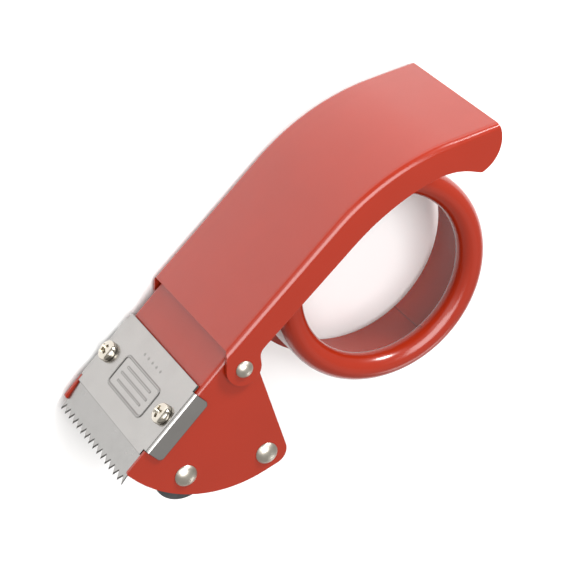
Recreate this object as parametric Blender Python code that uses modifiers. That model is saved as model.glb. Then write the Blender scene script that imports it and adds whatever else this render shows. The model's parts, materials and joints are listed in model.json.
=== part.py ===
"""Tape gun dispenser, a pressed-steel hand dispenser for packing tape on a 76 mm core.

The tool lies on its far side.  X runs from the cutting blade to the tail of the handle, Y from
the tape drum to the top of the handle, and Z is up, across the width of the tool.  Every outline
below is measured from the handle's pivot axis; an empty then carries the whole tool so that its
box stands on Z = 0 and is centred on X and Y.

Sizes are in millimetres and angles in degrees; MM turns them into Blender's metres.
"""

import math

import bmesh
import bpy
from mathutils import Matrix, Vector

MM = 0.001
SAGITTA = 0.08            # how far a facet may stray from the arc it stands for
GAP = 0.1                 # between pieces that are clamped or riveted together

# handle: a sheet channel whose web runs straight, then droops to the tail
HANDLE_HALF = 27.8
HANDLE_SHEET = 1.2
HANDLE_BEND = 2.5
WEB_FRONT_X = 1.0
WEB_FRONT_Y = 9.1
WEB_FALL = 1.6
TAIL_DROOP = 36.0
DROOP_X = 75.0
DROOP_RADIUS = 76.0
TAIL_X = 106.9
EAR_RADIUS = 5.8
EAR_HOLE = 2.1

# head: a narrower channel that holds both rollers, the blade and the drum arm
HEAD_HALF = 25.9
HEAD_SHEET = 0.95
HEAD_BEND = 1.6
HEAD_TOP = 6.7
HEAD_FRONT_X = -47.4
HEAD_WEB_FRONT_X = -40.0
HEAD_REAR_X = 18.0
HEAD_TONGUE_Y = 1.0
GUARD_TOP = 7.8           # the plates stand this high beside the blade's teeth
GUARD_REAR_X = -38.3

# rollers and their riveted axles
FRONT_AXLE = (-37.7, -10.4)
REAR_AXLE = (-17.8, -29.7)
AXLE_RADIUS = 2.5
AXLE_HEAD_RADIUS = 3.75
AXLE_HEAD_HEIGHT = 1.7
ROLLER_BORE = 2.6
ROLLER_HALF = 23.9
FRONT_CORE_RADIUS = 6.5
FRONT_TYRE_RADIUS = 9.85
REAR_ROLLER_RADIUS = 4.8
WASHER_RADIUS = 4.6
WASHER_SHEET = 0.6

# drum for the tape's core, and the arm that carries it
DRUM_CENTRE = (47.36, -39.58)
DRUM_RADIUS = 37.9
DRUM_SHEET = 1.0
CURL_RADIUS = 4.55
CURL_Z = 0.96
CURL_TURN = 215.0
LIP_RADIUS = 41.0
LIP_SHEET = 1.0
ARM_SHEET = 1.0
ARM_RIVETS = ((-11.0, 0.5), (-9.0, -11.5))
ARM_RIVET_RADIUS = 1.5

# blade, its cover and their screws
BLADE_HALF = 24.7
BLADE_SHEET = 0.4
BLADE_REAR_X = -19.0
BLADE_FOLD_X = -40.6
BLADE_ROOT_X = -49.3
BLADE_TIP_X = -51.3
BLADE_TEETH = 15
BLADE_DIP = 5.0
COVER_SHEET = 0.7
COVER_HALF = 26.8
COVER_TONGUE_HALF = 25.3
COVER_FRONT_HALF = 24.6
COVER_REAR_X = -12.6
COVER_FRONT_X = -40.2
COVER_FLANGE_X = (-38.0, -15.0)
COVER_FLANGE_Y = 1.3
COVER_BEND = 1.6
SCREW_X = -26.6
SCREW_Z = 21.2
SCREW_RADIUS = 1.95
SCREW_HEAD_RADIUS = 3.5
SCREW_HEAD_HEIGHT = 2.6
NUT_FLATS = 7.0
NUT_HEIGHT = 3.2

# pivot rivets
PIVOT_RADIUS = 2.0
PIVOT_HEAD_RADIUS = 2.9
PIVOT_HEAD_HEIGHT = 1.5

# heights that follow from the stack
BLADE_LOW = HEAD_TOP + GAP
COVER_LOW = BLADE_LOW + BLADE_SHEET + GAP
COVER_TOP = COVER_LOW + COVER_SHEET
SCREW_TOP = COVER_TOP + GAP + SCREW_HEAD_HEIGHT
HEAD_INSIDE = HEAD_HALF - HEAD_SHEET
HANDLE_INSIDE = HANDLE_HALF - HANDLE_SHEET
LOWEST_Z = -(HANDLE_HALF + GAP + PIVOT_HEAD_HEIGHT)
LOWEST_Y = DRUM_CENTRE[1] - LIP_RADIUS
TOOL_ORIGIN = (-(BLADE_TIP_X + TAIL_X) / 2, -(LOWEST_Y + SCREW_TOP) / 2, -LOWEST_Z)


def clear_scene():
    for obj in list(bpy.data.objects):
        bpy.data.objects.remove(obj, do_unlink=True)


def new_collection(name):
    collection = bpy.data.collections.new(name)
    bpy.context.scene.collection.children.link(collection)
    return collection


def new_empty(name, place, parent=None):
    empty = bpy.data.objects.new(name, None)
    parts.objects.link(empty)
    empty.parent = parent
    empty.location = Vector(place) * MM
    return empty


def new_material(name, colour, roughness, metallic):
    material = bpy.data.materials.new(name)
    material.use_nodes = True
    shader = material.node_tree.nodes["Principled BSDF"]
    shader.inputs["Base Color"].default_value = (*colour, 1.0)
    shader.inputs["Roughness"].default_value = roughness
    shader.inputs["Metallic"].default_value = metallic
    return material


def new_piece(name, mesh, material, parent, place=(0.0, 0.0, 0.0)):
    piece = bpy.data.objects.new(name, mesh)
    parts.objects.link(piece)
    piece.parent = parent
    piece.location = Vector(place) * MM
    mesh.materials.append(material)
    return piece


def new_cutter(name, mesh, parent):
    cutter = bpy.data.objects.new(name, mesh)
    cutters.objects.link(cutter)
    cutter.parent = parent
    cutter.hide_render = True
    cutter.display_type = 'WIRE'
    return cutter


def combine(piece, other, operation):
    boolean = piece.modifiers.new(other.name, 'BOOLEAN')
    boolean.operation = operation
    boolean.object = other
    boolean.solver = 'EXACT'


# ---- outlines ---------------------------------------------------------------------------------

def arc_steps(radius, turn):
    facet = 2 * math.acos(1 - SAGITTA / radius)
    return max(2, math.ceil(abs(turn) / facet))


def arc(centre, radius, start, end):
    """Points along an arc, from one angle to another in degrees."""
    first, last = math.radians(start), math.radians(end)
    steps = arc_steps(radius, last - first)
    angles = [first + (last - first) * i / steps for i in range(steps + 1)]
    return [(centre[0] + radius * math.cos(a), centre[1] + radius * math.sin(a)) for a in angles]


def circle(centre, radius):
    return arc(centre, radius, 0.0, 360.0)[:-1]


def filleted(corners):
    """A closed outline whose corners (x, y, radius) are rounded; a radius of 0 stays sharp."""
    points = []
    for i, (x, y, radius) in enumerate(corners):
        corner = Vector((x, y))
        back = (Vector(corners[i - 1][:2]) - corner).normalized()
        ahead = (Vector(corners[(i + 1) % len(corners)][:2]) - corner).normalized()
        if radius == 0:
            points.append(tuple(corner))
            continue
        opening = back.angle(ahead)
        turn = math.copysign(math.pi - opening, -back.cross(ahead))
        centre = corner + (back + ahead).normalized() * radius / math.sin(opening / 2)
        spoke = corner + back * radius / math.tan(opening / 2) - centre
        steps = arc_steps(radius, turn)
        for step in range(steps + 1):
            points.append(tuple(centre + Matrix.Rotation(turn * step / steps, 2) @ spoke))
    return points


def handle_web(depth, front_x, rear_x):
    """The handle's top line, or a line that far beneath it, with a rounded droop."""
    fall, droop = math.radians(WEB_FALL), math.radians(TAIL_DROOP)
    middle, half = (fall + droop) / 2, (droop - fall) / 2
    reach = depth / math.cos(half)
    droop_y = WEB_FRONT_Y - (DROOP_X - WEB_FRONT_X) * math.tan(fall)
    bend_x = DROOP_X - reach * math.sin(middle)
    bend_y = droop_y - reach * math.cos(middle)
    return [(front_x, bend_y + (bend_x - front_x) * math.tan(fall), 0),
            (bend_x, bend_y, DROOP_RADIUS - depth),
            (rear_x, bend_y - (rear_x - bend_x) * math.tan(droop), 0)]


# ---- solids -----------------------------------------------------------------------------------

def prism_mesh(name, outlines, low, high):
    """A flat outline, with any holes in it, drawn across Z from low to high."""
    curve = bpy.data.curves.new(name, 'CURVE')
    curve.dimensions = '2D'
    curve.fill_mode = 'BOTH'
    curve.extrude = (high - low) / 2 * MM
    for outline in outlines:
        spline = curve.splines.new('POLY')
        spline.points.add(len(outline) - 1)
        for point, (x, y) in zip(spline.points, outline):
            point.co = (x * MM, y * MM, 0, 1)
        spline.use_cyclic_u = True
    drawn = bpy.data.objects.new(name, curve)
    bpy.context.scene.collection.objects.link(drawn)
    graph = bpy.context.evaluated_depsgraph_get()
    mesh = bpy.data.meshes.new_from_object(drawn.evaluated_get(graph))
    bpy.data.objects.remove(drawn, do_unlink=True)
    bpy.data.curves.remove(curve)
    bm = bmesh.new()
    bm.from_mesh(mesh)
    bmesh.ops.remove_doubles(bm, verts=bm.verts, dist=0.001 * MM)
    bmesh.ops.translate(bm, verts=bm.verts, vec=(0, 0, (high + low) / 2 * MM))
    bmesh.ops.dissolve_limit(bm, angle_limit=0.001, verts=bm.verts, edges=bm.edges)
    bmesh.ops.recalc_face_normals(bm, faces=bm.faces)
    bm.to_mesh(mesh)
    bm.free()
    mesh.materials.clear()
    return mesh


def box_mesh(name, low, high):
    bm = bmesh.new()
    bmesh.ops.create_cube(bm, size=1.0)
    size = [(b - a) * MM for a, b in zip(low, high)]
    middle = [(a + b) / 2 * MM for a, b in zip(low, high)]
    bmesh.ops.scale(bm, verts=bm.verts, vec=size)
    bmesh.ops.translate(bm, verts=bm.verts, vec=middle)
    mesh = bpy.data.meshes.new(name)
    bm.to_mesh(mesh)
    bm.free()
    return mesh


def round_long_edges(mesh, radius, half, line):
    """Round the edges that follow a line of (x, y) points at Z = half and Z = -half."""
    bm = bmesh.new()
    bm.from_mesh(mesh)
    near = 0.01

    def follows(x, y, z):
        return abs(abs(z) - half) < near and any(abs(x - a) < near and abs(y - b) < near for a, b in line)

    edges = [e for e in bm.edges if all(follows(*(v.co / MM)) for v in e.verts)
             and (e.verts[0].co - e.verts[1].co).xy.length > near * MM]
    bmesh.ops.bevel(bm, geom=edges, offset=radius * MM, offset_type='OFFSET', segments=3,
                    profile=0.5, affect='EDGES', clamp_overlap=False)
    bmesh.ops.recalc_face_normals(bm, faces=bm.faces)
    bm.to_mesh(mesh)
    bm.free()


def turned(name, profile, closed, material, parent, place=(0.0, 0.0, 0.0)):
    """A piece turned about its own Z axis from (radius, height) points, outer side first."""
    mesh = bpy.data.meshes.new(name)
    count = len(profile)
    links = [(i, (i + 1) % count) for i in range(count if closed else count - 1)]
    mesh.from_pydata([(r * MM, 0.0, h * MM) for r, h in profile], links, [])
    piece = new_piece(name, mesh, material, parent, place)
    screw = piece.modifiers.new("turn", 'SCREW')
    screw.axis = 'Z'
    screw.steps = arc_steps(max(r for r, _ in profile), 2 * math.pi)
    screw.render_steps = screw.steps
    screw.use_merge_vertices = True
    screw.merge_threshold = 0.00001
    screw.use_smooth_shade = True
    return piece


def tube_profile(outer, inner, low, high):
    return [(outer, high), (outer, low), (inner, low), (inner, high)]


def dome(radius, height, base, side):
    """A low rivet head above base on one side (+1 or -1), from its crown to its rim."""
    ball = (radius ** 2 + height ** 2) / (2 * height)
    spread = math.asin(radius / ball)
    steps = 4
    turns = [spread * i / steps for i in range(steps + 1)]
    return [(ball * math.sin(t), side * (base + height - ball * (1 - math.cos(t)))) for t in turns]


# ---- pieces -----------------------------------------------------------------------------------

def handle_mesh(name, start, depth, half):
    """A solid under the handle's web line; start is the rest of its outline."""
    rear_x = TAIL_X if depth == 0 else TAIL_X + 20.0
    outline = filleted([*start, *reversed(handle_web(depth, WEB_FRONT_X, rear_x))])
    mesh = prism_mesh(name, [outline], -half, half)
    web_points = arc_steps(DROOP_RADIUS - depth, math.radians(TAIL_DROOP - WEB_FALL)) + 3
    round_long_edges(mesh, HANDLE_BEND - depth, half, outline[-web_points:])
    return mesh


def make_handle(material, parent):
    neck_x, neck_y = 7.0, -0.55
    waist_x, waist_y = 65.8, -3.2
    below = [
        (-EAR_RADIUS, 2.75, EAR_RADIUS), (-EAR_RADIUS, -EAR_RADIUS, EAR_RADIUS),
        (2.8, -EAR_RADIUS, EAR_RADIUS), (neck_x, neck_y, 3.5), (waist_x, waist_y, 78.0),
        (86.9, -13.05, 22.8), (92.1, -22.9, 1.8), (101.9, -25.85, 11.2),
    ]
    shell = handle_mesh("handle_channel", below, 0.0, HANDLE_HALF)
    handle = new_piece("handle_channel", shell, material, parent)
    around = [(WEB_FRONT_X, 20.0, 0), (-12.0, 20.0, 0), (-12.0, -60.0, 0), (TAIL_X + 20.0, -60.0, 0)]
    hollow = handle_mesh("handle_hollow", around, HANDLE_SHEET, HANDLE_INSIDE)
    combine(handle, new_cutter("handle_hollow", hollow, parent), 'DIFFERENCE')
    pivot = prism_mesh("handle_pivot_hole", [circle((0.0, 0.0), EAR_HOLE)], -40.0, 40.0)
    combine(handle, new_cutter("handle_pivot_hole", pivot, parent), 'DIFFERENCE')


def head_plate_outline():
    slope = math.tan(math.radians(62.7))
    heel_x, heel_y = -14.1, -37.55
    neck_x = heel_x + (HEAD_TONGUE_Y - heel_y) / slope
    shoulder_y = HEAD_TOP - HEAD_BEND - 0.3
    return filleted([
        (HEAD_FRONT_X, GUARD_TOP, 0.8), (HEAD_FRONT_X, -22.8, 41.3), (heel_x, heel_y, 5.0),
        (neck_x, HEAD_TONGUE_Y, 4.0), (HEAD_REAR_X, HEAD_TONGUE_Y, 1.5), (HEAD_REAR_X, shoulder_y, 0),
        (GUARD_REAR_X, shoulder_y, 0), (GUARD_REAR_X, GUARD_TOP, 0),
    ])


def make_head(material, parent):
    """The web and its two bends, joined to both side plates, then drilled."""
    low_y = HEAD_TOP - HEAD_BEND - 1.0
    ends = [(HEAD_WEB_FRONT_X, HEAD_TOP), (HEAD_REAR_X, HEAD_TOP)]
    web = box_mesh("head_frame", (HEAD_WEB_FRONT_X, low_y, -HEAD_HALF), (HEAD_REAR_X, HEAD_TOP, HEAD_HALF))
    round_long_edges(web, HEAD_BEND, HEAD_HALF, ends)
    head = new_piece("head_frame", web, material, parent)

    under_y = HEAD_TOP - HEAD_SHEET
    hollow_ends = [(HEAD_WEB_FRONT_X - 5.0, under_y), (HEAD_REAR_X + 5.0, under_y)]
    hollow = box_mesh("head_hollow", (hollow_ends[0][0], low_y - 5.0, -HEAD_INSIDE),
                      (hollow_ends[1][0], under_y, HEAD_INSIDE))
    round_long_edges(hollow, HEAD_BEND - HEAD_SHEET, HEAD_INSIDE, hollow_ends)
    combine(head, new_cutter("head_hollow", hollow, parent), 'DIFFERENCE')

    outline = head_plate_outline()
    for side, low in (("near", HEAD_INSIDE), ("far", -HEAD_HALF)):
        plate = prism_mesh(f"head_plate_{side}", [outline], low, low + HEAD_SHEET)
        combine(head, new_cutter(plate.name, plate, parent), 'UNION')

    drills = {"front_axle": (FRONT_AXLE, AXLE_RADIUS), "rear_axle": (REAR_AXLE, AXLE_RADIUS),
              "pivot": ((0.0, 0.0), PIVOT_RADIUS)}
    for label, (centre, radius) in drills.items():
        pin = prism_mesh(f"head_hole_{label}", [circle(centre, radius + GAP)], -40.0, 40.0)
        combine(head, new_cutter(pin.name, pin, parent), 'DIFFERENCE')
    for i, centre in enumerate(ARM_RIVETS):
        pin = prism_mesh(f"head_hole_arm_{i}", [circle(centre, ARM_RIVET_RADIUS + GAP)], -40.0, 0.0)
        combine(head, new_cutter(pin.name, pin, parent), 'DIFFERENCE')
    drill_for_screws(head, parent)


def drill_for_screws(piece, parent):
    """Two clearance holes along Y for the cover screws."""
    for side, z in (("near", SCREW_Z), ("far", -SCREW_Z)):
        name = f"{piece.name}_screw_hole_{side}"
        pin = prism_mesh(name, [circle((0.0, 0.0), SCREW_RADIUS + 2 * GAP)], -12.0, 12.0)
        cutter = new_cutter(name, pin, parent)
        cutter.location = Vector((SCREW_X, HEAD_TOP, z)) * MM
        cutter.rotation_euler = (math.radians(90.0), 0.0, 0.0)
        combine(piece, cutter, 'DIFFERENCE')


def make_drum(material, parent):
    """A band with its near edge curled inward and its far edge turned out into a lip."""
    lip_high = -HEAD_HALF + LIP_SHEET
    curl_centre = (DRUM_RADIUS - CURL_RADIUS, CURL_Z)
    outside = arc(curl_centre, CURL_RADIUS, CURL_TURN, 0.0)
    inside = arc(curl_centre, CURL_RADIUS - DRUM_SHEET, 0.0, CURL_TURN)
    profile = [*outside, (DRUM_RADIUS, lip_high), (LIP_RADIUS, lip_high), (LIP_RADIUS, -HEAD_HALF),
               (DRUM_RADIUS - DRUM_SHEET, -HEAD_HALF), *inside]
    turned("tape_drum", profile, True, material, parent, (*DRUM_CENTRE, 0.0))


def make_arm(material, parent):
    """A flat arm from the head's far plate to a ring that backs the drum's lip."""
    top_y = HEAD_TOP - HEAD_SHEET - 0.5
    ring = arc(DRUM_CENTRE, LIP_RADIUS, -185.0, 122.0)
    shoulder = filleted([(*ring[-1], 0), (19.0, top_y, 8.0), (-14.0, top_y, 3.0), (-14.0, -19.0, 5.0),
                         (-3.0, -21.0, 18.0), (*ring[0], 0)])
    outline = ring + shoulder[1:-1]
    holes = [circle(DRUM_CENTRE, DRUM_RADIUS + 2 * GAP), circle((0.0, 0.0), PIVOT_RADIUS + GAP)]
    holes += [circle(centre, ARM_RIVET_RADIUS + GAP) for centre in ARM_RIVETS]
    low = -HEAD_INSIDE + GAP
    mesh = prism_mesh("drum_arm", [outline, *holes], low, low + ARM_SHEET)
    new_piece("drum_arm", mesh, material, parent)


def make_rollers(materials, parent):
    front = new_empty("front_roller_axis", (*FRONT_AXLE, 0.0), parent)
    rear = new_empty("rear_roller_axis", (*REAR_AXLE, 0.0), parent)
    tyre = tube_profile(FRONT_TYRE_RADIUS, FRONT_CORE_RADIUS + GAP, -ROLLER_HALF, ROLLER_HALF)
    turned("front_roller_tyre", tyre, True, materials["rubber"], front)
    core = tube_profile(FRONT_CORE_RADIUS, ROLLER_BORE, -ROLLER_HALF, ROLLER_HALF)
    turned("front_roller_core", core, True, materials["plastic"], front)
    sleeve = tube_profile(REAR_ROLLER_RADIUS, ROLLER_BORE, -ROLLER_HALF, ROLLER_HALF)
    turned("rear_roller", sleeve, True, materials["plastic"], rear)
    for label, axis in (("front", front), ("rear", rear)):
        make_axle(f"{label}_axle", materials["nickel"], axis)
        for side, low in (("near", ROLLER_HALF + GAP), ("far", -ROLLER_HALF - GAP - WASHER_SHEET)):
            washer = tube_profile(WASHER_RADIUS, AXLE_RADIUS + GAP, low, low + WASHER_SHEET)
            turned(f"{label}_roller_washer_{side}", washer, True, materials["zinc"], axis)


def make_axle(name, material, parent):
    """A pin through both side plates with a domed head on each end."""
    base = HEAD_HALF + GAP
    near = dome(AXLE_HEAD_RADIUS, AXLE_HEAD_HEIGHT, base, 1)
    far = dome(AXLE_HEAD_RADIUS, AXLE_HEAD_HEIGHT, base, -1)
    profile = [*near, (AXLE_RADIUS, base), (AXLE_RADIUS, -base), *reversed(far)]
    turned(name, profile, False, material, parent)


def make_pivots(materials, parent):
    """A rivet and a spacing washer at each ear; the far rivet also passes through the arm."""
    inner_faces = {"near": HEAD_INSIDE, "far": HEAD_INSIDE - GAP - ARM_SHEET}
    for side, sign in (("near", 1), ("far", -1)):
        crown = dome(PIVOT_HEAD_RADIUS, PIVOT_HEAD_HEIGHT, HANDLE_HALF + GAP, 1)
        seat = inner_faces[side] - GAP
        profile = [*crown, (PIVOT_RADIUS, HANDLE_HALF + GAP), (PIVOT_RADIUS, seat),
                   (PIVOT_HEAD_RADIUS, seat), (PIVOT_HEAD_RADIUS - 0.3, seat - 0.9), (0.0, seat - 0.9)]
        washer = tube_profile(EAR_RADIUS - 1.0, PIVOT_RADIUS + GAP, HEAD_HALF + GAP, HANDLE_INSIDE - GAP)
        if sign < 0:
            profile = [(r, -h) for r, h in reversed(profile)]
            washer = [(r, -h) for r, h in reversed(washer)]
        turned(f"pivot_rivet_{side}", profile, False, materials["nickel"], parent)
        turned(f"pivot_washer_{side}", washer, True, materials["zinc"], parent)


def make_arm_rivets(material, parent):
    """Low rivets that hold the arm to the inside of the head's far plate."""
    low = -HEAD_HALF - GAP
    high = -HEAD_INSIDE + GAP + ARM_SHEET + GAP
    head_radius, head_height = 2.4, 0.8
    for label, centre in zip(("upper", "lower"), ARM_RIVETS):
        inner = dome(head_radius, head_height, high, 1)
        outer = dome(head_radius, head_height, -low, -1)
        profile = [*inner, (ARM_RIVET_RADIUS, high), (ARM_RIVET_RADIUS, low), *reversed(outer)]
        turned(f"arm_rivet_{label}", profile, False, material, parent, (*centre, 0.0))


def make_blade(material, parent):
    """A thin strip with a saw-toothed edge, dipped ahead of the cover and drilled for the screws."""
    columns = 2 * BLADE_TEETH
    rows = (BLADE_REAR_X, BLADE_FOLD_X, BLADE_ROOT_X)
    bm = bmesh.new()
    bmesh.ops.create_grid(bm, x_segments=len(rows), y_segments=columns, size=1.0)
    dip = math.tan(math.radians(BLADE_DIP))
    for vert in bm.verts:
        row = round((1.0 - vert.co.x) / 2 * len(rows))
        column = round((vert.co.y + 1.0) / 2 * columns)
        edge_x = BLADE_TIP_X if column % 2 == 0 else BLADE_ROOT_X - 0.02
        x = rows[row] if row < len(rows) else edge_x
        low = BLADE_LOW - max(0.0, BLADE_FOLD_X - x) * dip
        vert.co = Vector((x, low, -BLADE_HALF + 2 * BLADE_HALF * column / columns)) * MM
    drawn = bmesh.ops.extrude_face_region(bm, geom=bm.faces[:])
    raised = [v for v in drawn["geom"] if isinstance(v, bmesh.types.BMVert)]
    bmesh.ops.translate(bm, verts=raised, vec=(0.0, BLADE_SHEET * MM, 0.0))
    bmesh.ops.recalc_face_normals(bm, faces=bm.faces)
    mesh = bpy.data.meshes.new("blade")
    bm.to_mesh(mesh)
    bm.free()
    drill_for_screws(new_piece("blade", mesh, material, parent), parent)


def make_cover(material, parent):
    """A stretch whose sides are bent down over the head, with a flat tongue at each end."""
    low, high = COVER_FLANGE_X
    wide = box_mesh("blade_cover", (low, COVER_FLANGE_Y, -COVER_HALF), (high, COVER_TOP, COVER_HALF))
    round_long_edges(wide, COVER_BEND, COVER_HALF, [(low, COVER_TOP), (high, COVER_TOP)])
    cover = new_piece("blade_cover", wide, material, parent)
    inside = COVER_HALF - COVER_SHEET
    ends = [(low - 5.0, COVER_LOW), (high + 5.0, COVER_LOW)]
    hollow = box_mesh("cover_hollow", (low - 5.0, -5.0, -inside), (high + 5.0, COVER_LOW, inside))
    round_long_edges(hollow, COVER_BEND - COVER_SHEET, inside, ends)
    combine(cover, new_cutter("cover_hollow", hollow, parent), 'DIFFERENCE')
    middle_x = (low + high) / 2
    for end, end_x, end_half in (("front", COVER_FRONT_X, COVER_FRONT_HALF),
                                 ("rear", COVER_REAR_X, COVER_TONGUE_HALF)):
        tongue = box_mesh(f"cover_tongue_{end}", (min(end_x, middle_x), COVER_LOW, -end_half),
                          (max(end_x, middle_x), COVER_TOP, end_half))
        combine(cover, new_cutter(tongue.name, tongue, parent), 'UNION')
    drill_for_screws(cover, parent)


def make_screws(materials, parent):
    """Pan-head screws down through cover, blade and web, each into a hexagonal nut."""
    seat = COVER_TOP + GAP
    nut_high = HEAD_TOP - HEAD_SHEET - GAP
    nut_low = nut_high - NUT_HEIGHT
    for side, z in (("near", SCREW_Z), ("far", -SCREW_Z)):
        axis = new_empty(f"cover_screw_axis_{side}", (SCREW_X, 0.0, z), parent)
        axis.rotation_euler = (math.radians(-90.0), 0.0, 0.0)
        rim = [(SCREW_HEAD_RADIUS, seat + 1.3), (SCREW_HEAD_RADIUS, seat)]
        crown = [(0.0, SCREW_TOP), (1.8, SCREW_TOP - 0.15), (3.0, SCREW_TOP - 0.7)]
        shank = [(SCREW_RADIUS, seat), (SCREW_RADIUS, nut_low - 0.3), (SCREW_RADIUS - 0.5, nut_low - 0.8),
                 (0.0, nut_low - 0.8)]
        turned(f"cover_screw_{side}", crown + rim + shank, False, materials["nickel"], axis)
        corner_radius = NUT_FLATS / 2 / math.cos(math.radians(30.0))
        hexagon = [(corner_radius * math.cos(math.radians(60.0 * k)),
                    corner_radius * math.sin(math.radians(60.0 * k))) for k in range(6)]
        mesh = prism_mesh(f"cover_nut_{side}", [hexagon, circle((0.0, 0.0), SCREW_RADIUS + GAP)],
                          nut_low, nut_high)
        new_piece(mesh.name, mesh, materials["zinc"], axis)


clear_scene()
parts = new_collection("tape_gun_dispenser")
cutters = new_collection("cutters")
finishes = {
    "enamel": new_material("red_enamel", (0.44, 0.045, 0.025), 0.28, 0.0),
    "stainless": new_material("stainless_steel", (0.60, 0.59, 0.57), 0.35, 1.0),
    "blade_steel": new_material("blade_steel", (0.55, 0.55, 0.55), 0.25, 1.0),
    "nickel": new_material("nickel_plate", (0.62, 0.58, 0.50), 0.25, 1.0),
    "zinc": new_material("zinc_plate", (0.55, 0.56, 0.58), 0.40, 1.0),
    "rubber": new_material("black_rubber", (0.03, 0.035, 0.04), 0.60, 0.0),
    "plastic": new_material("grey_plastic", (0.30, 0.30, 0.31), 0.50, 0.0),
}
tool = new_empty("tool_origin", TOOL_ORIGIN)
pivot_axis = new_empty("handle_pivot_axis", (0.0, 0.0, 0.0), tool)
make_handle(finishes["enamel"], pivot_axis)
make_head(finishes["enamel"], tool)
make_drum(finishes["enamel"], tool)
make_arm(finishes["enamel"], tool)
make_blade(finishes["blade_steel"], tool)
make_cover(finishes["stainless"], tool)
make_screws(finishes, tool)
make_rollers(finishes, tool)
make_pivots(finishes, tool)
make_arm_rivets(finishes["nickel"], tool)
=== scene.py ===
"""Looks of the tape gun dispenser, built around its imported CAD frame.

Shapes are drawn in millimetres from the handle's pivot axis: x towards the tail of the handle,
y away from the tape drum, z across the tool towards its near side.  PLACE then turns them into
metres in the frame, where the tool lies on its far side.
"""

import json
import math

import bmesh
import bpy
from mathutils import Matrix, Vector


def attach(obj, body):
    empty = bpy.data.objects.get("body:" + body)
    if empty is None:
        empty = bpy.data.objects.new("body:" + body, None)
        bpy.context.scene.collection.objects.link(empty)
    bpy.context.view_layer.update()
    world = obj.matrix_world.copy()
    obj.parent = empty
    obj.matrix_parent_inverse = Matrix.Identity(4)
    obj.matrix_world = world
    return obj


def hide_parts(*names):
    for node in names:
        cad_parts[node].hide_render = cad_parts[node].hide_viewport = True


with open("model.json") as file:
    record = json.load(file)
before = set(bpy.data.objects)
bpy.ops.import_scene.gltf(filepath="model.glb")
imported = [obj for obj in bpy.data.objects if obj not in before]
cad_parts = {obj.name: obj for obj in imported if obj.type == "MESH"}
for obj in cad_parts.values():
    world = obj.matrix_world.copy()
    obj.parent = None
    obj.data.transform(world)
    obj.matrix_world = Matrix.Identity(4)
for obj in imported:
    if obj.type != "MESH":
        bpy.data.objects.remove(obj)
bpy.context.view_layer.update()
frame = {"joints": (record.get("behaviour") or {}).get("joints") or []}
pivot_axis = next(j for j in frame["joints"] if j["name"] == "handle_pivot")
PLACE = Matrix.Translation(Vector(pivot_axis["pos_m"])) @ Matrix.Scale(0.001, 4)

SAGITTA = 0.006           # how far a facet may stray from its arc
PAINT_EDGE = 0.22         # rounding of a painted sheet's edges
METAL_EDGE = 0.12
SHARP_TURN = 40.0         # an edge that turns more than this is rounded, in degrees
CROWN_STEPS = 24          # rings from a head's top to its rim
THROUGH = 40.0            # half the length of a drill that passes right through the tool

# handle channel
HANDLE_HALF = 27.8
HANDLE_SHEET = 1.2
HANDLE_BEND = 2.5
WEB_FRONT = (1.0, 9.1)
WEB_FALL = 1.6
TAIL_DROOP = 36.0
DROOP_X = 75.0
DROOP_RADIUS = 76.0
TAIL_X = 106.9
TAIL_SPARE = 20.0         # how far the channel's hollow runs on past the tail
EAR_RADIUS = 5.8
EAR_HOLE = 2.1
EAR_CORNER_Y = 2.75       # the ear's upper front corner, before it is rounded

# head channel
HEAD_HALF = 25.9
HEAD_SHEET = 0.95
HEAD_BEND = 1.6
HEAD_TOP = 6.7
GUARD_TOP = 7.8
HEAD_FRONT_X = -47.4
HEAD_WEB_FRONT_X = -40.0
HEAD_REAR_X = 18.0
HEAD_TONGUE_Y = 1.0
HEEL = (-14.1, -37.55)    # the plates' lowest corner, by the rear axle
HEEL_SLOPE = 62.7         # the plates' rear edge from the heel up to the tongue, in degrees
PLATE_STEP = 0.3          # how far the plates stop below the web's bends and before the cover

# rollers and axles
FRONT_AXLE = (-37.7, -10.4)
REAR_AXLE = (-17.8, -29.7)
AXLE_RADIUS = 2.5
AXLE_HEAD_RADIUS = 3.75
AXLE_HEAD_HEIGHT = 1.7
ROLLER_BORE = 2.6
ROLLER_HALF = 23.9
ROLLER_STEPS = 160        # facets round a roller's tyre, and round a plain sleeve
SLEEVE_STEPS = 128
FRONT_CORE_RADIUS = 6.5
FRONT_TYRE_RADIUS = 9.85
REAR_ROLLER_RADIUS = 4.8
WASHER_RADIUS = 4.6
WASHER_SHEET = 0.6
WASHER_CHAMFER = 0.12

# drum and its arm
DRUM_CENTRE = (47.36, -39.58)
DRUM_RADIUS = 37.9
DRUM_SHEET = 1.0
CURL_RADIUS = 4.55
CURL_Z = 0.96
CURL_TURN = 215.0
LIP_RADIUS = 41.0
LIP_SHEET = 1.0
DRUM_STEPS = 240
SEAM_TURN = -101.0        # where the band's ends are welded, in degrees round the drum
SEAM_DEPTH = 0.14
SEAM_HALF = 0.45          # half the seam's width in degrees
ARM_SHEET = 1.0
ARM_RIVETS = ((-11.0, 0.5), (-9.0, -11.5))
ARM_RIVET_RADIUS = 1.5
ARM_RIVET_HEAD_RADIUS = 2.4
ARM_RIVET_HEAD_HEIGHT = 0.8
ARM_RIVET_STEPS = 72
ARM_FRONT_X = -14.0
ARM_SHOULDER_X = 19.0

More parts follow.
